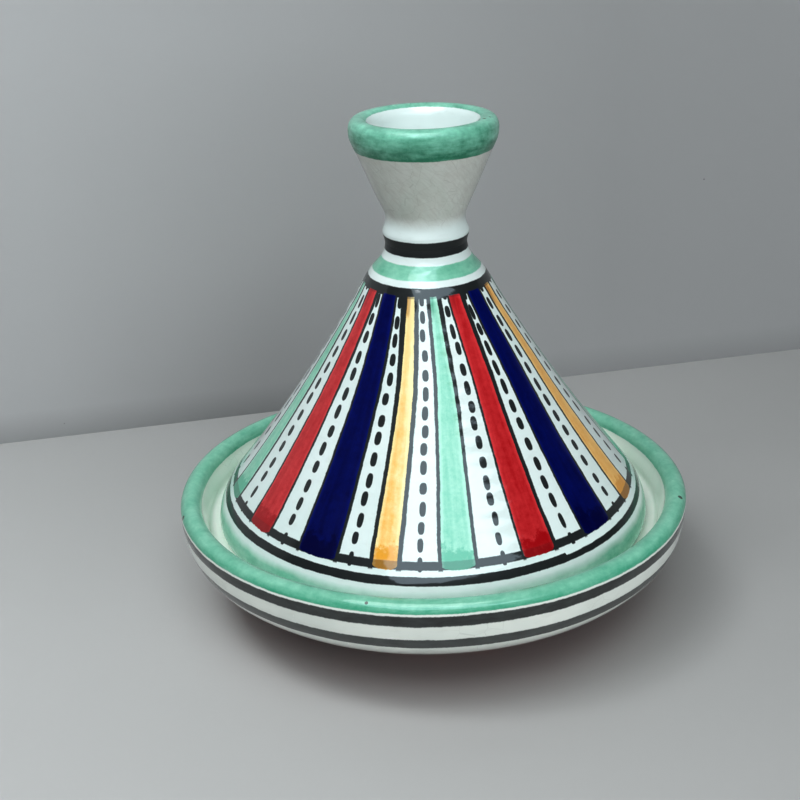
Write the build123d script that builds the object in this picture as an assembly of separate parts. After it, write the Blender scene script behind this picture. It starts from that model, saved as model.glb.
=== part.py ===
from build123d import *
import os

# Tagine pot in painted, glazed earthenware: a footed dish, and a conical lid with a flared knob.
# Millimetres, +Z up. The origin is the centre of the foot ring, on the table.
# Every piece is turned on a potter's wheel, so each is a closed half outline revolved about Z.
# Outline points are (radius, height).

# Dish, outside
rim_radius = 75.0           # widest part of the rim
dish_height = 34.0          # table to the top of the rim
rim_thickness = 6.2         # the rim is a round roll
wall_radius = 74.6          # just under the rim
wall_height = 26.5          # below this the wall turns in towards the foot
belly_radius = 64.5         # where the glaze stops, on the turn from wall to underside
belly_height = 14.0
foot_outer_radius = 44.0
foot_width = 6.0
foot_height = 4.0
foot_draft = 1.0            # the foot leans out by this much over its height
foot_recess = 3.0           # depth of the hollow inside the foot ring

# Dish, inside
ledge_radius = 67.0         # outer edge of the ledge that carries the lid
ledge_height = 24.5
ledge_inner_radius = 56.5
ledge_round = 1.5
bowl_radius = 50.0          # on the bowl's rounded side
bowl_side_height = 14.5
floor_radius = 34.0         # the bowl's floor is flat inside this
floor_height = 8.5

# Lid cone
lip_radius = 63.7           # outermost edge of the lid
lip_height = 27.0
lip_top_radius = 62.0       # top of the lip's steep rounded edge
lip_top_height = 31.8
seat_outer_radius = 62.4    # flat ring under the lip, which sits on the ledge
seat_inner_radius = 57.4
cone_foot_radius = 58.8     # the cone's long run begins here
cone_foot_height = 36.3
shoulder_radius = 16.7      # and ends here
shoulder_height = 98.3
cone_hollow = 1.9           # how far the cone's side bows inwards half way up
neck_radius = 12.6          # foot of the neck
neck_height = 103.4
joint_radius = 11.6         # bottom of the groove, where cone and knob are luted
joint_height = 107.2
wall_thickness = 5.4
crown_height = 95.0         # top of the hollow inside the lid
crown_radius = 9.5          # radius of the hollow where its dome begins
crown_drop = 5.0            # the dome's height

# Lid knob
bead_radius = 12.3          # rounded bead above the groove
bead_height = 110.2
waist_radius = 11.3
waist_height = 113.8
flare_start_radius = 12.2   # the knob flares in a nearly straight cone between these two
flare_start_height = 117.0
flare_end_radius = 19.7
flare_end_height = 134.4
knob_radius = 20.6          # widest part of the knob's rim
knob_widest_height = 138.2
knob_height = 141.6         # overall height of the pot
knob_crest_radius = 17.6    # crest of the knob's rim
knob_mouth_radius = 14.6
knob_mouth_height = 139.4
cup_radius = 7.0            # the hollow of the knob, near its floor
cup_side_height = 118.5
cup_floor_height = 116.5


def turned(*edges):
    """Solid turned on the wheel from a closed half outline in the XZ plane."""
    outline = Wire(edges)
    return revolve(Plane.XZ * make_face(outline), Axis.Z)


def base_dish():
    """Dish with a rolled rim, a ledge for the lid, a bowl and a foot ring."""
    rim_round = rim_thickness / 2
    roll_radius = rim_radius - rim_round
    roll_height = dish_height - rim_round
    inner_rim_radius = rim_radius - rim_thickness
    foot_inner_radius = foot_outer_radius - foot_width

    foot = Polyline(
        (0, foot_recess),
        (foot_inner_radius - foot_draft, foot_recess),
        (foot_inner_radius, 0),
        (foot_outer_radius, 0),
        (foot_outer_radius + foot_draft, foot_height),
    )
    belly = Spline(
        (foot_outer_radius + foot_draft, foot_height),
        (belly_radius, belly_height),
        (wall_radius, wall_height),
        tangents=[(1, 0.3), (0.1, 1)],
    )
    wall = Line((wall_radius, wall_height), (rim_radius, roll_height))
    rim = ThreePointArc(
        (rim_radius, roll_height),
        (roll_radius, dish_height),
        (inner_rim_radius, roll_height),
    )
    inner_wall = Line((inner_rim_radius, roll_height), (ledge_radius, ledge_height + ledge_round))
    ledge_corner = RadiusArc(
        (ledge_radius, ledge_height + ledge_round),
        (ledge_radius - ledge_round, ledge_height),
        ledge_round,
    )
    ledge = Line((ledge_radius - ledge_round, ledge_height), (ledge_inner_radius, ledge_height))
    bowl = Spline(
        (ledge_inner_radius, ledge_height),
        (bowl_radius, bowl_side_height),
        (floor_radius, floor_height),
        tangents=[(-0.35, -1), (-1, 0)],
    )
    floor = Line((floor_radius, floor_height), (0, floor_height))
    axis = Line((0, floor_height), (0, foot_recess))
    rim_side = [belly, wall, rim, inner_wall]
    inside = [ledge_corner, ledge, bowl, floor]
    return turned(*foot.edges(), *rim_side, *inside, axis)


def lid_cone():
    """Hollow cone with a thick lip below and a solid crown above, up to the luted joint."""
    middle_radius = (cone_foot_radius + shoulder_radius) / 2 - cone_hollow
    middle_height = (cone_foot_height + shoulder_height) / 2
    inner_foot = (cone_foot_radius - wall_thickness, cone_foot_height)
    crown_start = (crown_radius, crown_height - crown_drop)
    inner_middle_radius = (inner_foot[0] + crown_start[0]) / 2 - cone_hollow
    inner_middle_height = (inner_foot[1] + crown_start[1]) / 2

    seat = Line((seat_inner_radius, ledge_height), (seat_outer_radius, ledge_height))
    lip = Spline(
        (seat_outer_radius, ledge_height),
        (lip_radius, lip_height),
        (lip_top_radius, lip_top_height),
        (cone_foot_radius, cone_foot_height),
        tangents=[(1, 0.2), (-0.63, 0.77)],
    )
    cone = ThreePointArc(
        (cone_foot_radius, cone_foot_height),
        (middle_radius, middle_height),
        (shoulder_radius, shoulder_height),
    )
    shoulder = Spline(
        (shoulder_radius, shoulder_height),
        (neck_radius, neck_height),
        (joint_radius, joint_height),
        tangents=[(-0.55, 0.83), (0, 1)],
    )
    joint = Line((joint_radius, joint_height), (0, joint_height))
    axis = Line((0, joint_height), (0, crown_height))
    crown = ThreePointArc(
        (0, crown_height),
        (crown_radius * 0.62, crown_height - crown_drop * 0.24),
        crown_start,
    )
    inside = ThreePointArc(
        crown_start,
        (inner_middle_radius, inner_middle_height),
        inner_foot,
    )
    inner_lip = Line(inner_foot, (seat_inner_radius, ledge_height))
    return turned(seat, lip, cone, shoulder, joint, axis, crown, inside, inner_lip)


def lid_knob():
    """Flared hollow knob with a beaded foot, standing on the crown of the cone."""
    joint = Line((0, joint_height), (joint_radius, joint_height))
    bead = Spline(
        (joint_radius, joint_height),
        (bead_radius, bead_height),
        (waist_radius, waist_height),
        tangents=[(0.2, 1), (0, 1)],
    )
    flare = Spline(
        (waist_radius, waist_height),
        (flare_start_radius, flare_start_height),
        (flare_end_radius, flare_end_height),
        (knob_radius, knob_widest_height),
        tangents=[(0, 1), (0, 1)],
    )
    rim = Spline(
        (knob_radius, knob_widest_height),
        (knob_crest_radius, knob_height),
        (knob_mouth_radius, knob_mouth_height),
        tangents=[(0, 1), (-1, 0), (-0.5, -1)],
    )
    cup = Line((knob_mouth_radius, knob_mouth_height), (cup_radius, cup_side_height))
    cup_floor = Spline(
        (cup_radius, cup_side_height),
        (0, cup_floor_height),
        tangents=[(-0.4, -1), (-1, 0)],
    )
    axis = Line((0, cup_floor_height), (0, joint_height))
    return turned(joint, bead, flare, rim, cup, cup_floor, axis)


pieces = {
    "base_dish": base_dish(),
    "lid_cone": lid_cone(),
    "lid_knob": lid_knob(),
}

os.makedirs("parts", exist_ok=True)
for name, piece in pieces.items():
    export_step(piece, f"parts/{name}.step")
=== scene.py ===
"""Painted tagine pot: a footed dish and a conical lid with a flared knob, in glazed earthenware.

Lengths are millimetres until a mesh, a light or the camera is made; MM turns them into metres.
Azimuth is in degrees about +Z: 0 faces the camera's side (-Y) and 90 faces +X.
"""

import math

import bmesh
import bpy
import numpy as np
from mathutils import Matrix, Vector


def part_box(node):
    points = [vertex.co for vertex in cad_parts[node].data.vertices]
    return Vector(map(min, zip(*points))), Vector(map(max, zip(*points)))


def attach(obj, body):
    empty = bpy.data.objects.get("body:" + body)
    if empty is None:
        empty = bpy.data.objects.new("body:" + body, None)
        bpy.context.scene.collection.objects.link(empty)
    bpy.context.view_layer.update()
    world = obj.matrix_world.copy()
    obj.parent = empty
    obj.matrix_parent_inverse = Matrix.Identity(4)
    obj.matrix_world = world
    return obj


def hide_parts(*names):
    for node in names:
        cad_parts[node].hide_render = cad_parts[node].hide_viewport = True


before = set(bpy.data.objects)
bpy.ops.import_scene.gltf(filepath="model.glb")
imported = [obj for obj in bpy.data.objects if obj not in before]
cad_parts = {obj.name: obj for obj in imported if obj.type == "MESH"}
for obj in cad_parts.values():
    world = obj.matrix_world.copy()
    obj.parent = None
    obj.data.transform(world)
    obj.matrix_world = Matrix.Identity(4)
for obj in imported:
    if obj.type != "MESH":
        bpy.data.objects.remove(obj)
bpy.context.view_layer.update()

MM = 0.001
FINE = 0.1  # spacing of the points an outline is smoothed with
CORNER = math.radians(24)  # an outline that turns more than this at a point has a corner there
TOUCHING = 1e-6  # metres; nearer than this, two places are one
LEAST_STEP = 1e-3  # shorter steps along an outline are dropped
SEGMENTS = 256  # mesh divisions round the pot
RING_BEND = 2.2  # mesh rings added for each radian that an outline turns through
SEAM_KEPT = 0.2  # nearer than this to the luted seam, a corner stays sharp
SEAM_EASED = 1.2  # and this much further on it is wholly rounded

# Heights and radii of the pot, from the frame
RIM_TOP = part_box("base_dish")[1].z / MM
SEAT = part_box("lid_cone")[0].z / MM
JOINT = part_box("lid_cone")[1].z / MM
KNOB_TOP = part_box("lid_knob")[1].z / MM
RIM_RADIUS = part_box("base_dish")[1].x / MM
KNOB_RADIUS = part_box("lid_knob")[1].x / MM
FOOT_RADIUS = 0.6 * RIM_RADIUS  # of the foot ring, where the outside of the dish begins

# Painted rings on the dish's outside, as heights
RIM_GREEN_FOOT = RIM_TOP - 2.7
UPPER_LINE = (RIM_TOP - 5.6, RIM_TOP - 3.4)
LOWER_LINE = (RIM_TOP - 12.5, RIM_TOP - 9.1)
GLAZE_FOOT = RIM_TOP - 19.2
RIM_GREEN_INSIDE = RIM_TOP - 2.9

# Painted rings on the lid, as heights
LIP_GREEN = SEAT + 6.9
FOOT_BAND = (SEAT + 8.1, SEAT + 10.1)
RUN_BAND = (SEAT + 11.4, SEAT + 13.2)
SHOULDER = JOINT - 8.9
SHOULDER_BAND = (JOINT - 11.3, SHOULDER)
NECK_GREEN = (JOINT - 7.3, JOINT - 4.0)
GROOVE_FOOT = JOINT - 1.9
GROOVE_TOP = JOINT + 2.2
FLARE_FOOT = JOINT + 7.0
KNOB_GREEN_FOOT = KNOB_TOP - 8.2
KNOB_GREEN_INSIDE = KNOB_TOP - 0.9
BEYOND = 99.0  # further along an outline than any point on it

# Stripes down the cone: azimuth of each one's middle at half height, then how far it has wandered
# from there at the shoulder and at the foot. Colours repeat: mint, red, navy, yellow.
STRIPES = [
    (-79.2, 0.9, 1.1), (-55.5, -1.1, 0.5), (-32.0, -3.6, -0.2), (-11.4, -3.3, -1.3),
    (8.1, -3.4, -1.7), (28.7, -5.1, -0.1), (50.3, -6.1, -0.2), (72.3, -6.8, -0.6),
    (95.5, -5.0, 0.3), (118.6, -3.5, -0.6), (141.8, -2.0, 0.8), (165.0, -1.0, -0.4),
    (188.1, -2.4, 0.6), (211.3, -1.5, -0.8), (234.5, 0.4, 0.5), (257.6, 0.8, -0.3),
]
# Shares of the cone's run, 0 at the shoulder and 1 at the foot
WANDER_END = 0.38  # a stripe wanders above this
WANDER_AGAIN = 0.9  # and by this it has wandered the other way
WIDE_FROM = 0.45  # a stripe has its lower width from here down
LINE_WIDE_FROM = 0.5  # and so have the black lines beside it
SHARE_END = 1.1  # shares are counted no further than this
WANDER_BEND = 1.6  # how suddenly the wandering sets in
HALF_WIDTHS = [(2.9, 4.5), (5.3, 4.6), (6.4, 5.7), (3.2, 3.3)]  # degrees, at the shoulder and below
HALF_WIDTHS_VARY = (0.95, 1.06)
BROAD_STRIPE = 7  # one yellow stripe is broader and duller than the others
BROAD_BY = 1.25
NOT_PAINTED = -50.0  # a stripe's half width where there are no stripes
LEAST_HALF = 0.5  # half widths are taken as at least this
# Black lines beside the stripes: random range of their widths at the shoulder and below
LINE_WIDTHS_TOP = (0.7, 1.2)
LINE_WIDTHS_BELOW = (0.75, 1.15)
# and those that are not random: stripe, flank (0 left, 1 right), width at the shoulder and below
WIDE_LINES = [
    (3, 0, 1.9, 1.15), (3, 1, 1.3, 1.25), (4, 0, 1.1, 1.0), (4, 1, 1.4, 1.0),
    (5, 0, 0.6, 0.65), (5, 1, 1.4, 1.2), (2, 0, 0.5, 0.7), (2, 1, 0.6, 0.95),
    (6, 0, 0.7, 0.7), (6, 1, 0.6, 0.8), (1, 0, 0.6, 0.7), (1, 1, 1.1, 0.8),
]

# Azimuths of the rows of dashes between the stripes
DASHES = [
    -67.4, -44.1, -21.1, -2.0, 19.2, 39.4, 61.7, 84.0,
    107.2, 130.5, 153.8, 176.6, 199.8, 223.2, 246.5, 269.3,
]
DASH_PITCH = 5.3
DASH_PITCH_VARIES = (0.96, 1.06)
DASH_START = (0.44, 0.56)  # where in its cell the lowest dab's middle is, as a random range
LOWEST_DASH = 1.1  # middle of a row's lowest dab, above the ring below it
ROW_APART = 40  # more than the dabs in a row, so that each row has its own luck
# Random ranges of a dab: middle and half height as shares of the pitch, shift aside, stoutness
DAB_MIDDLE = (0.42, 0.58)
DAB_HALF_HEIGHT = (0.3, 0.41)
DAB_ASIDE = (-0.22, 0.22)
DAB_STOUTNESS = (1.08, 0.9)
DAB_HALF_WIDTH = (4, 40, 0.66, 0.94)  # from, to, below the shoulder, and half width at each
DAB_NARROWS = (60, 74, 1.0, 0.8)  # and by how much it narrows again
DAB_SQUARENESS = 2.6

# Azimuths about the place where the brush stroke of the cone's lowest ring began
BAND_JOIN = 35.7
BAND_NARROWER = (BAND_JOIN, 90, 0.75, 0.3)  # beyond it: from, to, and by how much narrower at each
BAND_FADE = (170, 8.0)  # where the difference has faded, and how softly
# The lip's green is thinner about the front: partly worn, and partly a painted highlight where the front
# of the lip is brightly lit
LIP_WORN_AND_LIT_MIDDLE = 8.0
LIP_WORN_AND_LIT = (4.0, 45.0, 0.25, 0.95)  # degrees from there, and how much green is left
BRUSH_EDGE = 0.14  # softness of a painted edge


def srgb(red, green, blue):
    """Linear colour, with alpha 1, from 0-255 display values."""
    parts = [v / 255 for v in (red, green, blue)]
    return tuple(p / 12.92 if p <= 0.04045 else ((p + 0.055) / 1.055) ** 2.4 for p in parts) + (1.0,)


def scaled(colour, by):
    return tuple(part * by for part in colour[:3]) + (1.0,)


# Each stripe colour: where the glaze is thin, where it pools, and how much black shows through it
STRIPE_GLAZES = [
    (srgb(176, 228, 206), srgb(100, 192, 160), 0.5),
    (srgb(214, 66, 70), srgb(170, 10, 22), 0.3),
    (srgb(5, 22, 106), srgb(1, 3, 66), 0.0),
    (srgb(255, 234, 172), srgb(246, 178, 58), 0.7),
]
YELLOW = 3
YELLOW_PALE = srgb(255, 236, 188)  # at the upper right of a yellow stripe
PALE_MIDDLE = 0.845  # how pale the top of a yellow stripe is at its middle
PALE_SLANT = 0.65  # and how much paler at its right flank
PALE_MOST = 0.9
PALE_END = 0.7  # share of the run at which the paleness ends
BROAD_THIN = srgb(248, 208, 132)
BROAD_POOLED = srgb(230, 166, 72)
WHITE = srgb(231, 242, 239)
WHITE_SHADE = srgb(221, 234, 231)
WHITE_BRUSHED = srgb(214, 224, 220)
IRON = srgb(120, 104, 88)
BLACK = srgb(12, 16, 19)
BLACK_THIN = srgb(25, 30, 32)
DISH_INK_THIN = srgb(52, 58, 58)
KNOB_INK_THIN = srgb(12, 15, 17)
GREEN_THIN = srgb(154, 214, 190)
GREEN_POOLED = srgb(70, 164, 132)
# The knob's green: the pale thin colour is partly a painted highlight on the rim's upper part, the deep
# pooled colour partly painted shade below
KNOB_GREEN_THIN_HIGHLIT = srgb(160, 228, 204)
KNOB_GREEN_POOLED_SHADED = srgb(44, 124, 96)
CREAM = srgb(246, 248, 238)
CREAM_GREEN = srgb(228, 244, 228)
OUTSIDE_WASH = (1.06, 0.99, 0.95, 1.0)  # warms the white outside the dish
SCRATCH = srgb(255, 255, 252)
DISH_CRAZE = srgb(150, 152, 146)
KNOB_CRAZE = srgb(150, 150, 142)
# Painted shade: the greys that the knob's downward-facing flare is darkened to
FLARE_PAINTED_SHADE_DARK = srgb(197, 196, 189)
FLARE_PAINTED_SHADE = srgb(206, 208, 201)
FLARE_STROKE = srgb(158, 154, 146)
PIT = srgb(40, 44, 36)
CLAY = srgb(138, 52, 38)
CLAY_DARK = srgb(96, 34, 26)

# How much of the ground the black covers
BLACK_COVER = 0.97
LINE_COVERS = (0.96, 0.93)
# How far from its lower edge a green rim is deeper, and how much deeper it is there. On the knob this is
# partly pooled glaze and partly painted shade on the rim's downward-facing lower part.
DISH_POOLING = (2.4, 0.5)
KNOB_POOLING_AND_SHADE = (8.5, 0.62)

# Pinholes and nicks: azimuth, how far inside the piece's radius, how far above its rim, and size
DISH_MARKS = [
    (-13.5, 1.7, 0.3, 0.48), (23.5, 5.4, -0.2, 0.5), (-74.0, 0.7, -1.7, 0.8), (76.5, 1.8, -0.2, 0.8),
]
KNOB_MARKS = [
    (-16.0, 4.1, -0.3, 0.4), (63.0, 4.0, -0.2, 0.4), (69.0, 3.3, -0.1, 0.45), (77.0, 2.4, -0.3, 0.4),
    (92.0, 0.1, -3.6, 0.6),
]


# ---- outlines from the frame

def section(node):
    """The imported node's half outline at azimuth 90, as (radius, height) points from axis to axis."""
    bm = bmesh.new()
    bm.from_mesh(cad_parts[node].data)
    bmesh.ops.remove_doubles(bm, verts=bm.verts, dist=TOUCHING)
    for normal in ((0, 1, 0), (-1, 0, 0)):
        everything = [*bm.verts, *bm.edges, *bm.faces]
        bmesh.ops.bisect_plane(bm, geom=everything, plane_no=normal, clear_outer=True)
    cut = [e for e in bm.edges if e.is_boundary and all(abs(v.co.y) < TOUCHING for v in e.verts)]
    linked = {}
    for edge in cut:
        a, b = edge.verts
        linked.setdefault(a, []).append(b)
        linked.setdefault(b, []).append(a)
    here = min((v for v in linked if len(linked[v]) == 1), key=lambda v: v.co.z)
    path, before = [], None
    while here is not None:
        path.append((here.co.x / MM, here.co.z / MM))
        following = [v for v in linked[here] if v is not before]
        before, here = here, (following[0] if following else None)
    bm.free()
    path = np.array(path)
    apart = np.linalg.norm(np.diff(path, axis=0), axis=1) > LEAST_STEP
    return path[np.concatenate([[True], apart])]


def curve_through(points):
    """Finely spaced cubic curve through the points, with a sharp turn kept only at corners."""
    steps = np.diff(points, axis=0)
    lengths = np.linalg.norm(steps, axis=1)
    heading = steps / lengths[:, None]
    made = []
    for i, length in enumerate(lengths):
        start = leaving = heading[i]
        if i > 0 and np.dot(heading[i - 1], start) > math.cos(CORNER):
            weight = lengths[i - 1] / (lengths[i - 1] + length)
            leaving = heading[i - 1] * (1 - weight) + start * weight
        arriving = start
        if i + 1 < len(lengths) and np.dot(heading[i + 1], start) > math.cos(CORNER):
            weight = lengths[i + 1] / (lengths[i + 1] + length)
            arriving = heading[i + 1] * (1 - weight) + start * weight
        t = np.arange(0, 1, FINE / length)[:, None]
        made.append(
            (2 * t**3 - 3 * t**2 + 1) * points[i]
            + (t**3 - 2 * t**2 + t) * length * leaving
            + (3 * t**2 - 2 * t**3) * points[i + 1]
            + (t**3 - t**2) * length * arriving
        )
    return np.vstack([*made, points[-1:]])


def softened(curve, reach):
    """The curve, its corners rounded as a glaze rounds them, except where cone and knob are luted."""
    pad = int(4 * reach / FINE)
    weights = np.exp(-0.5 * (np.arange(-pad, pad + 1) * FINE / reach) ** 2)
    weights /= weights.sum()
    mirror = np.array([-1.0, 1.0])  # the outline goes on past the axis as its own mirror image
    longer = np.vstack([curve[pad:0:-1] * mirror, curve, curve[-2:-pad - 2:-1] * mirror])
    smooth = np.stack([np.convolve(longer[:, k], weights, "valid") for k in (0, 1)], axis=1)
    smooth[0, 0] = smooth[-1, 0] = 0.0
    from_seam = np.abs(curve[:, 1:] - JOINT)
    loose = np.clip((from_seam - SEAM_KEPT) / SEAM_EASED, 0, 1)
    return curve + (smooth - curve) * loose


def rings(curve, spacing):
    """Points of the curve for the mesh's rings, closer together where the curve bends."""
    steps = np.diff(curve, axis=0)
    lengths = np.linalg.norm(steps, axis=1)
    turn = np.unwrap(np.arctan2(steps[:, 1], steps[:, 0]))
    turning = np.abs(np.gradient(turn))
    need = np.concatenate([[0.0], np.cumsum(lengths / spacing + turning * RING_BEND)])
    wanted = np.linspace(0, need[-1], int(need[-1]) + 2)
    return np.stack([np.interp(wanted, need, curve[:, k]) for k in (0, 1)], axis=1)


def lengths_from(path, zero):
    """Distance along the path from its point number zero."""
    steps = np.linalg.norm(np.diff(path, axis=0), axis=1)
    total = np.concatenate([[0.0], np.cumsum(steps)])
    return total - total[zero]


def outline(node, spacing, reach):
    """The piece's outline from pole to pole, with one point for each ring of its mesh."""
    return rings(softened(curve_through(section(node)), reach), spacing)


# ---- meshes

# Unevenness left by the potter's hands, always inwards: its mean and most, slow waves and smaller
# lumps (how many, most lobes round the pot, most rise per millimetre), and the throwing spiral
UNEVEN_MEAN, UNEVEN_MOST = 0.22, 0.5
SLOW_WAVES, SLOW_DEPTH = (7, 3, 0.03), 0.11
LUMPS, LUMP_DEPTH = (24, 11, 0.35), 0.05
SPIRAL_PITCH, SPIRAL_DEPTH = 3.7, 0.012
EVEN_WITHIN = 12  # the unevenness fades out inside this radius

# The dish's rim is higher at the front and lower at the back; the wall takes this up between two heights
RIM_SAG_FRONT = 1.0
RIM_SAG_BACK = 1.4
SAG_FOOT = SEAT + 1.5
SAG_TOP = RIM_TOP - 3.1


def waves(seed, count, around, upward):
    """Smooth, seeded unevenness over (azimuth, height), between about -1 and 1."""
    dice = np.random.default_rng(seed)
    lobes = dice.integers(1, around + 1, count)
    rises = dice.uniform(-upward, upward, count)
    phases = dice.uniform(0, 2 * math.pi, count)

    def value(azimuth, height):
        total = 0.0
        for lobe, rise, phase in zip(lobes, rises, phases):
            total = total + np.sin(lobe * azimuth + rise * height + phase)
        return total / math.sqrt(count * 2)

    return value


def hand_thrown(azimuth, radius, height, seed):
    """How far the potter's hands left the wall inside its true radius."""
    slow = waves(seed, *SLOW_WAVES)(azimuth, height)
    lumps = waves(seed + 1, *LUMPS)(azimuth, height)
    spiral = np.sin(2 * math.pi * height / SPIRAL_PITCH + azimuth)
    depth = UNEVEN_MEAN + SLOW_DEPTH * slow + LUMP_DEPTH * lumps + SPIRAL_DEPTH * spiral
    return np.clip(depth, 0.0, UNEVEN_MOST) * np.clip(radius / EVEN_WITHIN, 0, 1)


def rim_sag(azimuth, height):
    """How much higher than level the dish's rim is."""
    share = np.clip((height - SAG_FOOT) / (SAG_TOP - SAG_FOOT), 0, 1)
    share = share * share * (3 - 2 * share)
    return share * (RIM_SAG_FRONT * (1 + np.cos(azimuth)) - RIM_SAG_BACK * (1 - np.cos(azimuth))) / 2


def placed(name, data):
    """A new object in the scene."""
    made = bpy.data.objects.new(name, data)
    bpy.context.scene.collection.objects.link(made)
    return made


class Turned:
    """A mesh turned from an outline, with what its painted attributes are worked out from."""

    def __init__(self, name, path, seed, sag=None):
        self.path = path
        radius, height = path[1:-1, 0], path[1:-1, 1]
        count = len(radius)
        azimuth = np.arange(SEGMENTS) * 2 * math.pi / SEGMENTS - math.pi
        turn = np.broadcast_to(azimuth, (count, SEGMENTS))
        tall = np.broadcast_to(height[:, None], turn.shape)
        wide = np.broadcast_to(radius[:, None], turn.shape)
        wide = wide - hand_thrown(turn, wide, tall, seed)
        if sag:
            tall = tall + sag(turn, tall)
        ring_points = np.stack([wide * np.sin(turn), -wide * np.cos(turn), tall], axis=2)
        poles = [(0, 0, path[0, 1]), (0, 0, path[-1, 1])]
        points = np.vstack([ring_points.reshape(-1, 3), poles]) * MM
        row, column = np.meshgrid(np.arange(count - 1), np.arange(SEGMENTS), indexing="ij")
        row, column = row.ravel(), column.ravel()
        beside = (column + 1) % SEGMENTS
        quads = np.stack([
            row * SEGMENTS + column,
            row * SEGMENTS + beside,
            (row + 1) * SEGMENTS + beside,
            (row + 1) * SEGMENTS + column,
        ], axis=1)
        caps = self.caps_at(count)
        self.mesh = bpy.data.meshes.new(name)
        self.mesh.from_pydata(points.tolist(), [], quads.tolist() + caps)
        self.mesh.shade_smooth()
        self.object = placed(name, self.mesh)
        self.corners_of_a_cap = 3 * len(caps) // 2
        step = 360 / SEGMENTS
        left = column * step - 180
        self.corner_azimuth = np.stack([left, left + step, left + step, left], axis=1)
        self.corner_ring = np.stack([row, row, row + 1, row + 1], axis=1) + 1

    def caps_at(self, count):
        """Triangles that close the mesh at the axis, below its first ring and above its last."""
        first_pole, last_pole = count * SEGMENTS, count * SEGMENTS + 1
        top = (count - 1) * SEGMENTS
        caps = [(first_pole, (c + 1) % SEGMENTS, c) for c in range(SEGMENTS)]
        return caps + [(last_pole, top + c, top + (c + 1) % SEGMENTS) for c in range(SEGMENTS)]

    def corners(self, ring_values):
        """Values given per ring, spread over the corners of the quads."""
        return ring_values[self.corner_ring]

    def nearest(self, azimuths):
        """Which of several lines, given by azimuth at every ring, is nearest each corner's face."""
        away = np.abs(angle_between(self.face_azimuth(), azimuths[:, self.corner_ring[:, 0]]))
        return np.broadcast_to(np.argmin(away, axis=0)[:, None], self.corner_ring.shape)

    def face_azimuth(self):
        return self.corner_azimuth[:, 0] + 180 / SEGMENTS

    def write(self, name, parts, kind="FLOAT_VECTOR"):
        """Stores an attribute on the corners of the faces; each cap takes the value next to it."""
        flat = np.stack(np.broadcast_arrays(*parts), axis=2).reshape(-1, len(parts))
        caps = [np.tile(flat[end], (self.corners_of_a_cap, 1)) for end in (0, -1)]
        flat = np.vstack([flat, *caps])
        made = self.mesh.attributes.new(name, kind, "CORNER")
        made.data.foreach_set("vector" if kind == "FLOAT_VECTOR" else "color", flat.ravel())


def ring_at(path, height, part):
    """Number of the ring nearest a height, in the given part of the outline."""
    rows = np.arange(len(path))[part]
    return rows[np.argmin(np.abs(path[rows, 1] - height))]


# ---- the pattern on the cone

def angle_between(a, b):
    """Signed difference of two azimuths, in degrees."""
    return (a - b + 180) % 360 - 180


def stripe_middles(share):
    """Azimuth of each stripe's middle at a share of the cone's run, stripes first."""
    middle, at_top, at_foot = np.array(STRIPES).T[:, :, None]
    share = share[None, :]
    rise = np.clip((WANDER_END - share) / WANDER_END, 0, 1) ** WANDER_BEND
    fall = np.clip((share - WANDER_END) / (WANDER_AGAIN - WANDER_END), 0, 1)
    return middle + at_top * rise + at_foot * fall


def stripe_halves(share):
    """Half width of each stripe in degrees, stripes first."""
    colours = len(HALF_WIDTHS)
    at_top, below = np.array([HALF_WIDTHS[k % colours] for k in range(len(STRIPES))]).T[:, :, None]
    share = np.clip(share[None, :] / WIDE_FROM, 0, 1)
    dice = np.random.default_rng(5)
    varied = dice.uniform(*HALF_WIDTHS_VARY, (len(STRIPES), 1))
    varied[BROAD_STRIPE] = BROAD_BY
    return (at_top + (below - at_top) * share) * varied


def paint_cone(turned, seat_ring, shoulder_ring):
    """Writes where every corner lies in the pattern; returns the rings' distances below the shoulder."""
    along = -lengths_from(turned.path, shoulder_ring)
    outer = np.arange(len(along)) >= seat_ring
    cone_foot = along[ring_at(turned.path, RUN_BAND[0], slice(seat_ring, shoulder_ring))]
    share = np.clip(along / cone_foot, 0, SHARE_END)
    middles = stripe_middles(share)
    number = turned.nearest(middles)
    per_degree = turned.corners(turned.path[:, 0]) * math.pi / 180
    half = stripe_halves(share)[number, turned.corner_ring] * per_degree
    half = np.where(turned.corners(outer), half, NOT_PAINTED)
    off = angle_between(turned.corner_azimuth, middles[number, turned.corner_ring]) * per_degree
    turned.write("paint", [turned.corners(along), off, half])

    drift = middles - np.array(STRIPES)[:, :1]
    dashes = np.array(DASHES)[:, None] + (drift + np.roll(drift, -1, axis=0)) / 2
    panel = turned.nearest(dashes)
    across = angle_between(turned.corner_azimuth, dashes[panel, turned.corner_ring]) * per_degree
    face_middle = middles[number[:, 0], turned.corner_ring[:, 0]]
    side = (angle_between(turned.face_azimuth(), face_middle) > 0).astype(int)[:, None]
    dice = np.random.default_rng(11)
    pitch, start = dash_rows(dice, cone_foot)
    row = turned.corners(along) / pitch[panel] + start[panel] + ROW_APART * (panel + 1)
    top, below = line_widths(dice)
    lower = np.clip(turned.corners(share) / LINE_WIDE_FROM, 0, 1)
    line = top[number, side] * (1 - lower) + below[number, side] * lower
    turned.write("dash", [across, row, line])

    write_stripe_colours(turned, number, off / np.maximum(half, LEAST_HALF), turned.corners(share))
    return along


def dash_rows(dice, cone_foot):
    """Pitch and start of each row of dashes, as a dab's number grows down the cone."""
    pitch = DASH_PITCH * dice.uniform(*DASH_PITCH_VARIES, len(STRIPES))
    start = dice.uniform(*DASH_START, len(STRIPES)) - (cone_foot - LOWEST_DASH) / pitch
    return pitch, start


def line_widths(dice):
    """Widths of the black lines at the shoulder and below, by stripe and flank."""
    below = dice.uniform(*LINE_WIDTHS_BELOW, (len(STRIPES), 2))
    top = dice.uniform(*LINE_WIDTHS_TOP, (len(STRIPES), 2))
    for stripe, flank, top_width, width_below in WIDE_LINES:
        top[stripe, flank] = top_width
        below[stripe, flank] = width_below
    return top, below


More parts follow.
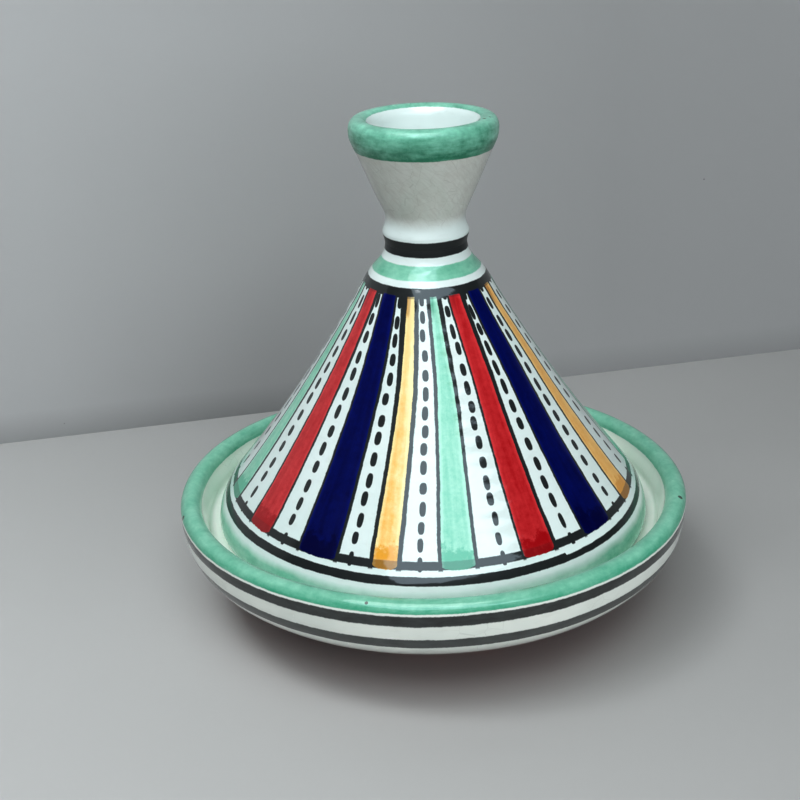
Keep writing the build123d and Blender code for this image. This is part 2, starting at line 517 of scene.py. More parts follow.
def write_stripe_colours(turned, number, aslant, share):
    """Writes the stripe's colours at each corner. aslant: -1 at its left flank, 1 at its right."""
    colour = number % len(STRIPE_GLAZES)
    thin, pooled, clear = (np.array(column)[colour] for column in zip(*STRIPE_GLAZES))
    broad = number == BROAD_STRIPE
    thin = np.where(broad[:, :, None], BROAD_THIN, thin)
    pooled = np.where(broad[:, :, None], BROAD_POOLED, pooled)
    rightwards = PALE_MIDDLE + PALE_SLANT * np.clip(aslant, -1, 1)
    upwards = 1 - np.clip(share / PALE_END, 0, 1)
    pale = (colour == YELLOW) * ~broad * rightwards * upwards
    pale = np.clip(pale, 0, PALE_MOST)[:, :, None]
    pooled = pooled * (1 - pale) + np.array(YELLOW_PALE) * pale
    turned.write("thin", [*np.moveaxis(thin[:, :, :3], 2, 0), clear], "FLOAT_COLOR")
    turned.write("pooled", [*np.moveaxis(pooled[:, :, :3], 2, 0), np.ones(clear.shape)], "FLOAT_COLOR")


# ---- material graphs

GLAZE_ROUGHNESS = (0.035, 0.085)
GLAZE_IOR = 1.5
BODY_ROUGHNESS = (0.32, 0.46)
BODY_SPECULAR = 0.12
GLAZE_DEPTH = 0.0001  # metres of relief in the glaze
BLACK_DULL = 0.7  # how much of its gloss the matt black lacks
MINT_SATIN = 0.2  # how much rougher the rim's green is than the white
FLARE_RADIUS = 16.0  # of the knob's flare half way up


class Graph:
    """Writes one material's node tree. Values may be numbers, colours or sockets."""

    def __init__(self, name):
        self.material = bpy.data.materials.new(name)
        self.material.use_nodes = True
        self.tree = self.material.node_tree
        self.tree.nodes.clear()

    def node(self, kind, values=(), **settings):
        made = self.tree.nodes.new(kind)
        for key, value in settings.items():
            setattr(made, key, value)
        for key, value in dict(values).items():
            self.put(made.inputs[key], value)
        return made

    def put(self, socket, value):
        if isinstance(value, bpy.types.NodeSocket):
            self.tree.links.new(value, socket)
        elif value is not None:
            socket.default_value = value

    def math(self, operation, a, b=None, clamp=False):
        return self.node("ShaderNodeMath", {0: a, 1: b}, operation=operation, use_clamp=clamp).outputs[0]

    def fold(self, operation, first, *others):
        for other in others:
            first = self.math(operation, first, other)
        return first

    def add(self, *values):
        return self.fold("ADD", *values)

    def times(self, *values):
        return self.fold("MULTIPLY", *values)

    def most(self, *values):
        return self.fold("MAXIMUM", *values)

    def less(self, a, b):
        return self.math("SUBTRACT", a, b)

    def over(self, value, edge, soft=0.1):
        """0 below the edge and 1 above it."""
        inputs = {0: value, 1: edge - soft, 2: edge + soft, 3: 0.0, 4: 1.0}
        return self.node("ShaderNodeMapRange", inputs, interpolation_type="SMOOTHSTEP").outputs[0]

    def under(self, value, edge, soft=0.1):
        """1 below the edge and 0 above it."""
        return self.less(1.0, self.over(value, edge, soft))

    def band(self, value, low, high, soft=0.1):
        """1 between two edges."""
        return self.times(self.over(value, low, soft), self.under(value, high, soft))

    def ramp(self, value, low, high, to_low=0.0, to_high=1.0):
        inputs = {0: value, 1: low, 2: high, 3: to_low, 4: to_high}
        return self.node("ShaderNodeMapRange", inputs).outputs[0]

    def mix(self, amount, a, b, blend="MIX"):
        made = self.node("ShaderNodeMix", {0: amount, 6: a, 7: b}, data_type="RGBA", blend_type=blend)
        return made.outputs[2]

    def vector(self, x, y, z):
        return self.node("ShaderNodeCombineXYZ", {0: x, 1: y, 2: z}).outputs[0]

    def parts(self, vector):
        return self.node("ShaderNodeSeparateXYZ", {0: vector}).outputs

    def attribute(self, name):
        return self.node("ShaderNodeAttribute", attribute_name=name)

    def place(self):
        """Where the point is on the piece at rest, in millimetres."""
        spot = self.node("ShaderNodeTexCoord").outputs["Object"]
        return self.node("ShaderNodeVectorMath", {0: spot, 3: 1 / MM}, operation="SCALE").outputs[0]

    def stretched(self, spot, x, y, z):
        inputs = {0: spot, 1: (x, y, z)}
        return self.node("ShaderNodeVectorMath", inputs, operation="MULTIPLY").outputs[0]

    def noise(self, spot, size, detail=2.0, rough=0.5):
        """Cloudy noise about zero, from roughly -0.5 to 0.5, with features of the given size."""
        inputs = {"Vector": spot, "Scale": 1 / size, "Detail": detail, "Roughness": rough}
        return self.less(self.node("ShaderNodeTexNoise", inputs).outputs[0], 0.5)

    def dots(self, spot, size, share, radius):
        """Round specks: cells of the given size, of which only a share holds a speck."""
        cell = self.node("ShaderNodeTexVoronoi", {"Vector": spot, "Scale": 1 / size})
        picked = self.over(self.parts(cell.outputs["Color"])[0], 1 - share, 0.001)
        edge = radius / size
        return self.times(picked, self.under(cell.outputs["Distance"], edge, 0.25 * edge))

    def cracks(self, spot, size, width):
        """A net of fine lines."""
        inputs = {"Vector": spot, "Scale": 1 / size}
        cell = self.node("ShaderNodeTexVoronoi", inputs, feature="DISTANCE_TO_EDGE")
        return self.under(cell.outputs["Distance"], width / size, width / size)

    def mark(self, spot, azimuth, radius, height, size, ragged):
        """A single spot at one place on the pot."""
        turn = math.radians(azimuth)
        centre = (radius * math.sin(turn), -radius * math.cos(turn), height)
        away = self.node("ShaderNodeVectorMath", {0: spot, 1: centre}, operation="DISTANCE")
        return self.under(self.add(away.outputs["Value"], ragged), size, 0.2 * size)

    def glaze(self, colour, height, bare=None, bare_colour=None, dull=0.0, satin=0.0):
        """Glossy glaze over clay. bare: where there is none; dull: how matt; satin: how much rougher."""
        spot = self.place()
        peel = self.noise(spot, 2.6, detail=3.0)
        smear = self.noise(self.stretched(spot, 1, 1, 2.5), 11.0)
        gloss = self.add(self.ramp(smear, -0.3, 0.3, *GLAZE_ROUGHNESS), satin)
        shine = self.less(1.0, dull)
        rough = self.ramp(peel, -0.4, 0.4, *BODY_ROUGHNESS)
        if bare is not None:
            colour = self.mix(bare, colour, bare_colour)
            shine = self.less(1.0, bare)
            rough = self.add(rough, self.times(bare, 0.45))
            grain = self.times(self.noise(spot, 0.5, detail=4.0, rough=0.7), self.times(bare, 3.0))
            height = self.add(height, grain)
        relief = self.add(self.times(peel, 0.6), height)
        bump = self.node("ShaderNodeBump", {"Strength": 0.35, "Distance": GLAZE_DEPTH, "Height": relief})
        shader = self.node("ShaderNodeBsdfPrincipled", {
            "Base Color": colour,
            "Roughness": rough,
            "Specular IOR Level": BODY_SPECULAR,
            "Coat Weight": shine,
            "Coat Roughness": gloss,
            "Coat IOR": GLAZE_IOR,
            "Normal": bump.outputs[0],
            "Coat Normal": bump.outputs[0],
        })
        self.node("ShaderNodeOutputMaterial", {0: shader.outputs[0]})
        return self.material


def white_glaze(g, spot):
    """White tin glaze: cool and warm clouds, brush marks and a few iron specks."""
    cloud = g.ramp(g.noise(spot, 17.0, detail=3.0), -0.25, 0.25)
    colour = g.mix(cloud, WHITE_SHADE, WHITE)
    brushed = g.over(g.noise(g.stretched(spot, 1, 1, 3), 5.0, detail=4.0, rough=0.6), 0.12, soft=0.12)
    colour = g.mix(g.times(brushed, 0.35), colour, WHITE_BRUSHED)
    specks = g.dots(spot, size=4.2, share=0.12, radius=0.14)
    return g.mix(g.times(specks, 0.55), colour, IRON)


def green_glaze(g, spot, deepening, thin=GREEN_THIN, pooled=GREEN_POOLED):
    """Mint glaze: brushed on round the pot, paler where thin and deeper where it pools; on the knob the
    deepening is partly painted shade.
    """
    streak = g.noise(g.stretched(spot, 1, 1, 4), 7.5, detail=4.0, rough=0.6)
    blotch = g.noise(spot, 1.6, detail=3.0, rough=0.65)
    depth = g.add(g.times(streak, 1.1), g.times(blotch, 0.55), deepening)
    colour = g.mix(g.math("ADD", depth, 0.35, clamp=True), thin, pooled)
    return colour, depth


def black_glaze(g, spot):
    thin = g.over(g.noise(spot, 2.4, detail=4.0, rough=0.6), 0.08, soft=0.14)
    return g.mix(g.times(thin, 0.5), BLACK, BLACK_THIN)


def wobble(g, spot, size, amount, detail=3.0):
    return g.times(g.noise(spot, size, detail, rough=0.6), amount)


def turn_at(g, spot):
    """Azimuth in radians."""
    x, y, _ = g.parts(spot)
    return g.math("ARCTAN2", x, g.times(y, -1.0))


def dash_mask(g, down, ragged, top, foot):
    """Rows of dashes between the stripes: each cell of the row coordinate holds one brush dab."""
    across, row, _ = g.parts(g.attribute("dash").outputs["Vector"])
    dab = g.node("ShaderNodeTexWhiteNoise", {"W": g.math("FLOOR", row)}, noise_dimensions="1D")
    luck = g.parts(dab.outputs["Color"])
    lower = g.less(g.math("FRACT", row), g.ramp(luck[0], 0, 1, *DAB_MIDDLE))
    tall = g.math("ABSOLUTE", g.math("DIVIDE", lower, g.ramp(luck[1], 0, 1, *DAB_HALF_HEIGHT)))
    aside = g.less(across, g.ramp(luck[2], 0, 1, *DAB_ASIDE))
    stout = g.times(g.ramp(luck[1], 0, 1, *DAB_STOUTNESS), g.ramp(down, *DAB_HALF_WIDTH),
                    g.ramp(down, *DAB_NARROWS))
    broad = g.math("ABSOLUTE", g.math("DIVIDE", aside, stout))
    shape = g.add(g.math("POWER", tall, DAB_SQUARENESS), g.math("POWER", broad, DAB_SQUARENESS))
    dabs = g.under(g.add(shape, g.times(ragged, 0.9)), 1.0, soft=0.22)
    return g.times(dabs, g.band(down, top - 0.5, foot + 0.5, soft=0.2))


def line_mask(g, spot, down, flank, top, foot):
    """Black lines down both flanks of every stripe. flank: distance inwards from the stripe's edge."""
    width = g.parts(g.attribute("dash").outputs["Vector"])[2]
    width = g.add(width, wobble(g, g.stretched(spot, 1, 1, 0.4), 5.0, 0.5))
    lines = g.times(g.over(g.add(flank, width), 0.0, soft=0.12), g.under(flank, 0.25, soft=0.12))
    return g.times(lines, g.band(down, top - 1.0, foot + 0.3, soft=0.3))


def ring_masks(g, along, drift, azimuth):
    """Black rings at the shoulder, the stripes' foot and the cone's foot, and the black groove."""
    bands = (SHOULDER_BAND, RUN_BAND, FOOT_BAND)
    shoulder, run, foot = (g.band(drift, along(high), along(low), BRUSH_EDGE) for low, high in bands)
    beyond_join = g.times(g.over(azimuth, BAND_JOIN, soft=0.2), g.under(azimuth, *BAND_FADE))
    narrower = g.times(beyond_join, g.ramp(azimuth, *BAND_NARROWER))
    foot = g.times(foot, g.over(g.less(drift, narrower), along(FOOT_BAND[1]), BRUSH_EDGE))
    groove = g.under(drift, along(GROOVE_FOOT), BRUSH_EDGE)
    return shoulder, run, foot, groove


def mint_mask(g, spot, along, drift, azimuth):
    """Mint ring on the neck and mint lip, and how far down the lip a place is, from 0 to 1."""
    neck = g.band(drift, along(NECK_GREEN[1]), along(NECK_GREEN[0]), soft=0.2)
    lip_from = along(LIP_GREEN)
    lip = g.ramp(g.add(drift, wobble(g, spot, 14.0, 2.4)), lip_from - 0.2, lip_from + 2.6)
    # Less green about the front: wear, and a painted highlight on the brightly lit front of the lip
    from_front = g.math("ABSOLUTE", g.less(azimuth, LIP_WORN_AND_LIT_MIDDLE))
    left = g.add(wobble(g, g.stretched(spot, 1, 1, 0.4), 22.0, 1.1), g.ramp(from_front, *LIP_WORN_AND_LIT))
    painted = g.math("MULTIPLY", g.math("MINIMUM", g.times(lip, 1.3), 1.0), left, clamp=True)
    return g.most(neck, painted), lip


def stripe_mask(g, down, aslant, ragged, flank, top, foot):
    """Where the stripes' colour lies. Their lower ends are rounded."""
    rounded = g.times(g.math("POWER", aslant, 4.0), 0.9)
    ends = g.add(down, rounded, g.times(ragged, 1.5))
    reach = g.under(ends, foot + 0.1, soft=0.12)
    tops = g.over(g.less(down, g.times(ragged, 1.3)), top - 0.5, soft=0.15)
    return g.times(g.over(flank, 0.0), reach, tops)


def stripe_glaze(g, spot, azimuth, down, edge, aslant, rings_under, foot):
    """Colour of the stripes: streaked lengthways, pooled at the foot, sooty where black shows."""
    thin = g.attribute("thin")
    clear = thin.outputs["Alpha"]
    pooled = g.attribute("pooled").outputs["Color"]
    lengthways = g.vector(g.times(azimuth, 1.15), g.times(down, 0.07), 0.0)
    streak = g.noise(lengthways, 2.6, detail=4.0, rough=0.6)
    blotch = g.noise(spot, 1.7, detail=5.0, rough=0.75)
    cloud = g.noise(spot, 6.0, detail=3.0, rough=0.6)

    pool = g.over(g.add(down, g.times(blotch, 6.0), g.times(cloud, 9.0)), foot - 5.2, soft=1.1)
    depth = g.add(g.times(streak, 0.9), g.times(blotch, 1.1), g.times(cloud, 0.7))
    depth = g.add(depth, g.ramp(edge, 0.0, 1.0, -0.15, 0.5))
    depth = g.math("ADD", depth, g.times(pool, 0.5), clamp=True)
    stripe = g.mix(depth, thin.outputs["Color"], pooled)

    leaning = g.ramp(aslant, -0.3, 0.3, -4.5, 4.0)
    smear = g.under(g.add(down, g.times(cloud, 8.0), leaning), 3.0, soft=2.2)
    soot = g.times(pool, g.ramp(blotch, -0.3, 0.3, 0.25, 0.95))
    soot = g.times(g.most(soot, g.times(smear, 1.4)), clear)
    stripe = g.mix(g.math("MINIMUM", soot, 0.9), stripe, g.mix(0.3, pooled, BLACK_THIN))
    stripe = g.mix(g.times(pool, g.over(blotch, 0.02, soft=0.12), 0.6), stripe, pooled)
    return g.mix(g.times(rings_under, clear), stripe, g.mix(0.25, BLACK_THIN, stripe))


def lid_material(along):
    """Glaze of the cone. along gives the distance below the shoulder of a height on its outside."""
    g = Graph("Painted_lid_glaze")
    spot = g.place()
    down, off, half = g.parts(g.attribute("paint").outputs["Vector"])
    outside = g.over(half, -1.0)
    ragged = g.add(wobble(g, spot, 3.1, 0.55), wobble(g, spot, 0.7, 0.28, detail=2.0))
    drift = g.add(down, g.times(ragged, 0.7))
    azimuth = g.times(turn_at(g, spot), 180 / math.pi)
    edge = g.less(half, g.math("ABSOLUTE", off))
    flank = g.add(edge, g.times(ragged, 0.8))
    aslant = g.math("DIVIDE", off, g.most(half, LEAST_HALF))
    top, foot = along(SHOULDER_BAND[0]), along(RUN_BAND[0])

    mint, down_lip = mint_mask(g, spot, along, drift, azimuth)
    mint = g.times(mint, outside)
    green, relief = green_glaze(g, spot, g.times(down_lip, 0.1))
    colour = g.mix(mint, white_glaze(g, spot), green)

    shoulder, run, low, groove = ring_masks(g, along, drift, azimuth)
    dabs = dash_mask(g, down, ragged, top, foot)
    lines = line_mask(g, spot, down, flank, top, foot)
    black = g.times(g.most(shoulder, run, low, groove, dabs, lines), outside)
    colour = g.mix(g.times(black, BLACK_COVER), colour, black_glaze(g, spot))

    stripe = stripe_glaze(g, spot, azimuth, down, edge, aslant, g.most(run, shoulder), foot)
    stripes = g.times(stripe_mask(g, down, aslant, ragged, flank, top, foot), outside)
    colour = g.mix(stripes, colour, stripe)

    height = g.add(g.times(stripes, 0.35), g.times(black, 0.25), g.times(relief, mint, 0.6))
    return g.glaze(colour, height, dull=g.times(groove, outside, BLACK_DULL))


def ring_material(name, greens, shades, deepening, blacks, ink_thin, marks, wear_and_shade, bare=None):
    """Glaze of a piece that is only ringed with colour.

    greens is the green rim's two edges and bare the glaze's end, as distances along the outline;
    blacks are rings as (start, end, cover). wear_and_shade paints what is special to the piece: its
    wear, and on the knob painted shade on the flare.
    """
    g = Graph(name)
    spot = g.place()
    out_by = g.parts(g.attribute("paint").outputs["Vector"])[0]
    ragged = g.add(wobble(g, spot, 3.4, 0.45), wobble(g, spot, 0.8, 0.22, detail=2.0))
    drift = g.add(out_by, ragged, wobble(g, spot, 28.0, 0.5, detail=1.0))
    colour = wear_and_shade(g, spot, out_by, white_glaze(g, spot))

    low, high = greens
    deepen_from, deepen_by = deepening
    # Deeper towards the rim's lower edge: pooled glaze, and on the knob also painted shade
    deeper_foot = g.ramp(out_by, high - deepen_from, high, 0.0, deepen_by)
    pooled = g.add(deeper_foot, g.ramp(out_by, low, low + 1.2, 0.15, 0.0))
    green, relief = green_glaze(g, spot, pooled, *shades)
    mint = g.band(drift, low, high, soft=0.15)
    colour = g.mix(mint, colour, green)

    black = 0.0
    for start, end, cover in blacks:
        black = g.most(g.times(g.band(drift, start, end, soft=0.16), cover), black)
    thin = g.ramp(g.noise(g.stretched(spot, 1, 1, 3), 6.0, detail=4.0, rough=0.6), -0.2, 0.25)
    colour = g.mix(black, colour, g.mix(thin, BLACK, ink_thin))
    radius, rim, places = marks
    for azimuth, inwards, above, size in places:
        pit = g.mark(spot, azimuth, radius - inwards, rim + above, size, g.times(ragged, 0.5))
        colour = g.mix(g.times(pit, 0.9), colour, PIT)

    height = g.add(g.times(relief, mint, 1.1), g.times(black, 0.2))
    if bare is None:
        return g.glaze(colour, height, dull=g.times(black, BLACK_DULL), satin=g.times(mint, MINT_SATIN))
    wave = g.add(out_by, wobble(g, spot, 16.0, 1.6, detail=2.0), ragged)
    clay = g.mix(g.ramp(g.noise(spot, 6.0, detail=5.0, rough=0.65), -0.2, 0.2), CLAY, CLAY_DARK)
    return g.glaze(colour, height, g.over(wave, bare, soft=0.25), clay)


def dish_wear(g, spot, out_by, colour):
    """The dish is creamy inside, tinged green and crazed; outside, pale scratches cross the white."""
    inside = g.under(out_by, -4.5, soft=0.6)
    tinge = g.ramp(g.noise(g.stretched(spot, 1, 1, 0.5), 7.0, detail=3.0), -0.15, 0.3)
    colour = g.mix(g.times(inside, 0.85), colour, g.mix(g.times(tinge, 0.5), CREAM, CREAM_GREEN))
    colour = g.mix(g.over(out_by, 3.0, soft=0.5), colour, g.mix(1.0, colour, OUTSIDE_WASH, "MULTIPLY"))
    net = g.times(g.cracks(spot, 5.5, width=0.035), g.over(g.noise(spot, 22.0), 0.05, soft=0.12))
    colour = g.mix(g.times(net, 0.35), colour, DISH_CRAZE)
    scratches = g.cracks(g.stretched(spot, 1, 1, 1.7), 8.0, width=0.07)
    here = g.times(g.over(g.noise(spot, 4.0), 0.14, soft=0.04), g.over(out_by, 4.5, soft=0.5))
    return g.mix(g.times(scratches, here, 0.9), colour, SCRATCH)


def knob_shade_and_wear(g, spot, out_by, colour):
    """The knob's unpainted flare is greyer as painted shade, since it faces down; it has slanting brush
    strokes, and is finely crazed.
    """
    up = g.parts(spot)[2]
    flare = g.times(g.over(out_by, 2.0, soft=1.0), g.over(up, FLARE_FOOT, soft=2.5))
    cloud = g.ramp(g.noise(spot, 4.5, detail=4.0, rough=0.65), -0.2, 0.25)
    # Painted shade: the flare above the bead, which faces down, is made greyer
    colour = g.mix(g.times(flare, 0.85), colour, g.mix(cloud, FLARE_PAINTED_SHADE_DARK, FLARE_PAINTED_SHADE))
    round_by = g.times(turn_at(g, spot), FLARE_RADIUS)
    slant = g.vector(g.add(round_by, up), g.times(g.less(round_by, up), 0.15), 0.0)
    strokes = g.ramp(g.noise(slant, 0.9, detail=3.0, rough=0.6), -0.1, 0.3, 0.0, 0.28)
    colour = g.mix(g.times(strokes, flare), colour, FLARE_STROKE)
    net = g.times(g.cracks(spot, 3.2, width=0.03), flare)
    return g.mix(g.times(net, 0.3), colour, KNOB_CRAZE)


# ---- pieces

# Spacing of the mesh's rings, how far the glaze rounds a corner, and the seed of the unevenness
CONE_SPACING, DISH_SPACING, KNOB_SPACING = 0.85, 1.0, 0.6
GLAZE_REACH, KNOB_GLAZE_REACH = 0.45, 0.3
LID_SEED, DISH_SEED = 3, 9


def make_cone():
    path = outline("lid_cone", CONE_SPACING, GLAZE_REACH)
    lowest = np.flatnonzero(path[:, 1] < SEAT + 0.02)
    seat_ring = lowest[len(lowest) // 2]
    outer = slice(seat_ring, None)
    turned = Turned("lid_cone_glazed", path, LID_SEED)
    along = paint_cone(turned, seat_ring, ring_at(path, SHOULDER, outer))
    heights, lengths = path[outer, 1], along[outer]
    order = np.argsort(heights)
    where = lambda height: float(np.interp(height, heights[order], lengths[order]))
    turned.mesh.materials.append(lid_material(where))
    return turned.object


def ringed(name, path, seed, sag=None):
    """A turned piece painted only with rings, and its rings' distances outwards from its crest."""
    turned = Turned(name, path, seed, sag)
    out_by = -lengths_from(path, int(np.argmax(path[:, 1])))
    turned.write("paint", [turned.corners(out_by), 0.0, 0.0])
    return turned, out_by


def make_dish():
    path = outline("base_dish", DISH_SPACING, GLAZE_REACH)
    crest = int(np.argmax(path[:, 1]))
    turned, out_by = ringed("base_dish_glazed", path, DISH_SEED, rim_sag)
    foot = int(np.argmin(np.abs(path[:crest, 0] - FOOT_RADIUS)))
    where = lambda height: float(out_by[ring_at(path, height, slice(foot, crest))])
    inner = float(out_by[ring_at(path, RIM_GREEN_INSIDE, slice(crest, None))])
    lines = zip((UPPER_LINE, LOWER_LINE), LINE_COVERS)
    turned.mesh.materials.append(ring_material(
        "Painted_dish_glaze",
        greens=(inner, where(RIM_GREEN_FOOT)),
        shades=(GREEN_THIN, GREEN_POOLED),
        deepening=DISH_POOLING,
        blacks=[(where(high), where(low), cover) for (low, high), cover in lines],
        ink_thin=DISH_INK_THIN,
        marks=(RIM_RADIUS, RIM_TOP, DISH_MARKS),
        wear_and_shade=dish_wear,
        bare=where(GLAZE_FOOT),
    ))
    return turned.object


def make_knob():
    path = outline("lid_knob", KNOB_SPACING, KNOB_GLAZE_REACH)
    crest = int(np.argmax(path[:, 1]))
    turned, out_by = ringed("lid_knob_glazed", path, LID_SEED)
    where = lambda height: float(out_by[ring_at(path, height, slice(1, crest))])
    inner = float(out_by[ring_at(path, KNOB_GREEN_INSIDE, slice(crest, None))])
    turned.mesh.materials.append(ring_material(
        "Painted_knob_glaze",
        greens=(inner, where(KNOB_GREEN_FOOT)),
        shades=(KNOB_GREEN_THIN_HIGHLIT, KNOB_GREEN_POOLED_SHADED),
        deepening=KNOB_POOLING_AND_SHADE,
        blacks=[(where(GROOVE_TOP), BEYOND, BLACK_COVER)],
        ink_thin=KNOB_INK_THIN,
        marks=(KNOB_RADIUS, KNOB_TOP, KNOB_MARKS),
        wear_and_shade=knob_shade_and_wear,
    ))
    return turned.object


# ---- stage, light, camera

WALL_AWAY = 0.1385  # from the pot's axis to the wall, metres
WALL_TURN = 13.46  # degrees
WALL_TALL = 0.6
WALL_HALF = 1.5
TABLE_HALF = 1.3
TABLE_GREY = srgb(186, 186, 184)
WALL_GREY = srgb(176, 177, 177)
SPECK_GREY = srgb(96, 96, 98)
# Painted light and shade on the stage: the table and the wall are paler at the left, and the table is
# paler at the front
# and darker towards the wall: from, to, and shade at each
WALL_PAINTED_LIGHT_ACROSS = (-110.0, 110.0, 1.22, 0.88)
TABLE_PAINTED_LIGHT_ACROSS = (-150.0, 150.0, 1.14, 0.96)
TABLE_PAINTED_SHADE_BACK = (-120.0, 90.0, 1.05, 0.85)
EVEN = (0.0, 1.0, 1.0, 1.0)  # no change of shade
WALL_FOOT_PAINTED_SHADE = (0.0, 12.0, 0.5, 0.0)  # painted shade in the crease at the wall's foot: up the wall from, to, and how much it darkens at each

# The roof window above the camera: corners in metres, all at one height
WINDOW_HEIGHT = 1.3
WINDOW_CORNERS = [
    (-0.58, -1.75), (0.13, -1.62), (0.33, -1.48), (1.07, -1.03), (1.3, -0.8),
    (0.86, -0.81), (0.42, -0.79), (0.36, -0.52), (-0.7, -0.52),
]
WINDOW_COLOUR = (0.72, 0.89, 1.0, 1.0)
WINDOW_STRENGTH = 4.4
DAYLIGHT = (0.936, 0.97, 1.0)
# Lights only seen mirrored in the glaze, and soft ones that never are: place, aim and size in metres,
# and watts
GLEAMS = {
    "strip": ((-0.125, -0.3, 1.35), (0, 0, 0), (0.9, 0.7), 11.0),
    "lamp": ((-0.38, -0.97, 1.35), (0, 0, 0), (0.22, 0.22), 1.5),
}
FILLS = {
    "overhead": ((-0.1, -0.5, 1.05), (0, 0, 0), (1.3, 0.9), 6.3),
    "left_high": ((-0.5, -0.3, 1.3), (0, 0, 0), (0.5, 0.5), 3.5),
    "left_near": ((-0.45, -0.1, 0.8), (-0.3, 0, 0), (0.2, 0.2), 1.2),
    "front_high": ((0.1, -1.1, 1.1), (0, 0, 0.05), (1.2, 0.8), 4.7),
    "right_low": ((0.8, -1.2, 0.4), (0, 0, 0.05), (1.6, 0.6), 10.5),
}
ROOM_COLOUR = (0.95, 0.97, 1.0, 1.0)
ROOM_LIGHT = 0.03  # strength of the light from all round
ROOM_SEEN = 0.36  # and of what the camera sees past the table and the wall

CAMERA_PLACE = (0.0, -0.36407, 0.2162)
CAMERA_YAW = -0.0238  # radians: turned left of +Y
CAMERA_PITCH = 0.408  # downwards
CAMERA_ROLL = -0.034
CAMERA_LENS = 61.14
CAMERA_SENSOR = 36.0
CAMERA_CLIP = (0.01, 20.0)
CAMERA_GAMMA = 0.8  # a camera's stronger contrast


def stage_material(name, colour, across, back=EVEN, one_sided=False):
    """Matt painted surface. A one-sided one is not seen from behind, nor does it block light there."""
    g = Graph(name)
    spot = g.place()
    x, y, z = g.parts(spot)
    cloud = g.ramp(g.noise(spot, 90.0, detail=3.0), -0.3, 0.3)
    grain = g.noise(spot, 0.8, detail=3.0, rough=0.7)
    tone = g.mix(g.times(cloud, 0.25), colour, scaled(colour, 0.92))
    specks = g.dots(spot, size=26.0, share=0.35, radius=0.35)
    tone = g.mix(g.times(specks, 0.6), tone, SPECK_GREY)
    # Painted light and shade: a slope of brightness across the sheet and from front to back
    shade = g.times(g.ramp(x, *across), g.ramp(y, *back))
    tone = g.mix(1.0, tone, g.vector(shade, shade, shade), "MULTIPLY")
    if one_sided:
        # Painted shade in the crease where the wall meets the table
        tone = g.mix(g.ramp(z, *WALL_FOOT_PAINTED_SHADE), tone, scaled(colour, 0.6))
    bump = g.node("ShaderNodeBump", {"Strength": 0.1, "Distance": 0.0002, "Height": grain})
    surface = g.node("ShaderNodeBsdfPrincipled", {
        "Base Color": tone,
        "Roughness": g.ramp(grain, -0.3, 0.3, 0.5, 0.65),
        "Specular IOR Level": 0.3,
        "Normal": bump.outputs[0],
    }).outputs[0]
    if one_sided:
        behind = g.node("ShaderNodeNewGeometry").outputs["Backfacing"]
        clear = g.node("ShaderNodeBsdfTransparent").outputs[0]
        surface = g.node("ShaderNodeMixShader", {0: behind, 1: surface, 2: clear}).outputs[0]
    g.node("ShaderNodeOutputMaterial", {0: surface})
    return g.material


def flat_sheet(name, corners, material):
    """One face through the given corners, in metres."""
    mesh = bpy.data.meshes.new(name)
    mesh.from_pydata(corners, [], [range(len(corners))])
    mesh.materials.append(material)
    made = placed(name, mesh)
    return made


def backdrop():
    """A table top, and a wall that stands on it close behind the pot."""
    table = stage_material("Table_grey", TABLE_GREY, TABLE_PAINTED_LIGHT_ACROSS, TABLE_PAINTED_SHADE_BACK)
    far = TABLE_HALF
    flat_sheet("table_top", [(-far, -far, 0), (far, -far, 0), (far, far, 0), (-far, far, 0)], table)
    paint = stage_material("Wall_grey", WALL_GREY, WALL_PAINTED_LIGHT_ACROSS, one_sided=True)
    foot = [(side * WALL_HALF, WALL_AWAY, 0) for side in (-1, 1)]
    top = [(side * WALL_HALF, WALL_AWAY, WALL_TALL) for side in (1, -1)]
    wall = flat_sheet("wall", foot + top, paint)
    wall.rotation_euler.z = math.radians(WALL_TURN)


def area(name, place, aim, size, power, gleam):
    """Rectangular light, only seen mirrored in the glaze (gleam) or never."""
    data = bpy.data.lights.new(name, "AREA")
    data.shape = "RECTANGLE"
    data.size, data.size_y = size
    data.energy = power
    data.color = DAYLIGHT
    made = placed(name, data)
    made.location = place
    made.rotation_euler = (Vector(aim) - Vector(place)).to_track_quat("-Z", "Y").to_euler()
    made.visible_glossy = gleam
    made.visible_diffuse = not gleam


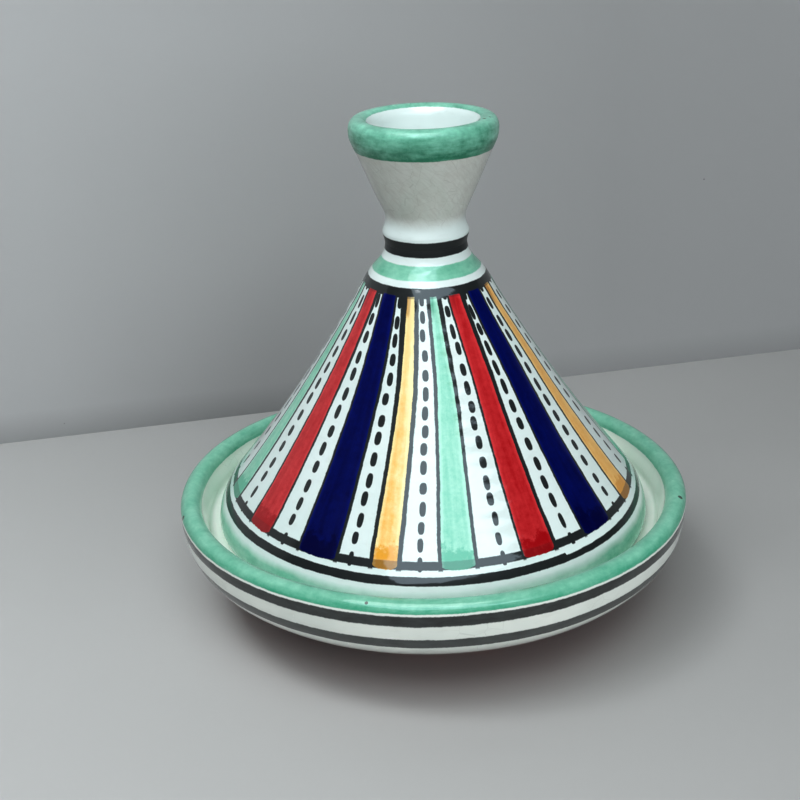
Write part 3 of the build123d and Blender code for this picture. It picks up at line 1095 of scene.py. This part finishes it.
def window():
    """Pale window above the camera, whose reflection runs down the cone."""
    g = Graph("Window_light")
    shine = g.node("ShaderNodeEmission", {"Color": WINDOW_COLOUR, "Strength": WINDOW_STRENGTH})
    g.node("ShaderNodeOutputMaterial", {0: shine.outputs[0]})
    made = flat_sheet("window", [(x, y, WINDOW_HEIGHT) for x, y in WINDOW_CORNERS], g.material)
    made.visible_camera = False
    made.visible_shadow = False
    made.visible_diffuse = False


def room():
    """Dim light from all round. The glaze does not mirror it."""
    world = bpy.data.worlds.new("room")
    world.use_nodes = True
    nodes, links = world.node_tree.nodes, world.node_tree.links
    strength = nodes.new("ShaderNodeMapRange")
    strength.inputs[3].default_value = ROOM_LIGHT
    strength.inputs[4].default_value = ROOM_SEEN
    links.new(nodes.new("ShaderNodeLightPath").outputs["Is Camera Ray"], strength.inputs[0])
    background = nodes["Background"]
    background.inputs[0].default_value = ROOM_COLOUR
    links.new(strength.outputs[0], background.inputs[1])
    world.cycles_visibility.glossy = False
    bpy.context.scene.world = world


def lights():
    window()
    for name, settings in GLEAMS.items():
        area(name, *settings, gleam=True)
    for name, settings in FILLS.items():
        area(name, *settings, gleam=False)
    room()


def camera():
    yaw, pitch, roll = CAMERA_YAW, CAMERA_PITCH, CAMERA_ROLL
    ahead = Vector((math.sin(yaw), math.cos(yaw), 0.0))
    forward = ahead * math.cos(pitch) - Vector((0.0, 0.0, math.sin(pitch)))
    level = Vector((math.cos(yaw), -math.sin(yaw), 0.0))
    upright = level.cross(forward)
    right = level * math.cos(roll) + upright * math.sin(roll)
    up = upright * math.cos(roll) - level * math.sin(roll)
    data = bpy.data.cameras.new("camera")
    data.lens = CAMERA_LENS
    data.sensor_width = CAMERA_SENSOR
    data.clip_start, data.clip_end = CAMERA_CLIP
    made = placed("camera", data)
    turned = Matrix((right, up, -forward)).transposed().to_4x4()
    made.matrix_world = Matrix.Translation(CAMERA_PLACE) @ turned
    bpy.context.scene.camera = made
    view = bpy.context.scene.view_settings
    view.view_transform = "Standard"
    view.gamma = CAMERA_GAMMA


# ---- the scene

PIECES = [
    (make_dish, "base_dish", "dish", "dish_glaze"),
    (make_cone, "lid_cone", "lid", "lid_glaze"),
    (make_knob, "lid_knob", "lid", "knob_glaze"),
]

for make, node, body, slot in PIECES:
    piece = make()
    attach(piece, body)
    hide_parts(node)

backdrop()
lights()
camera()
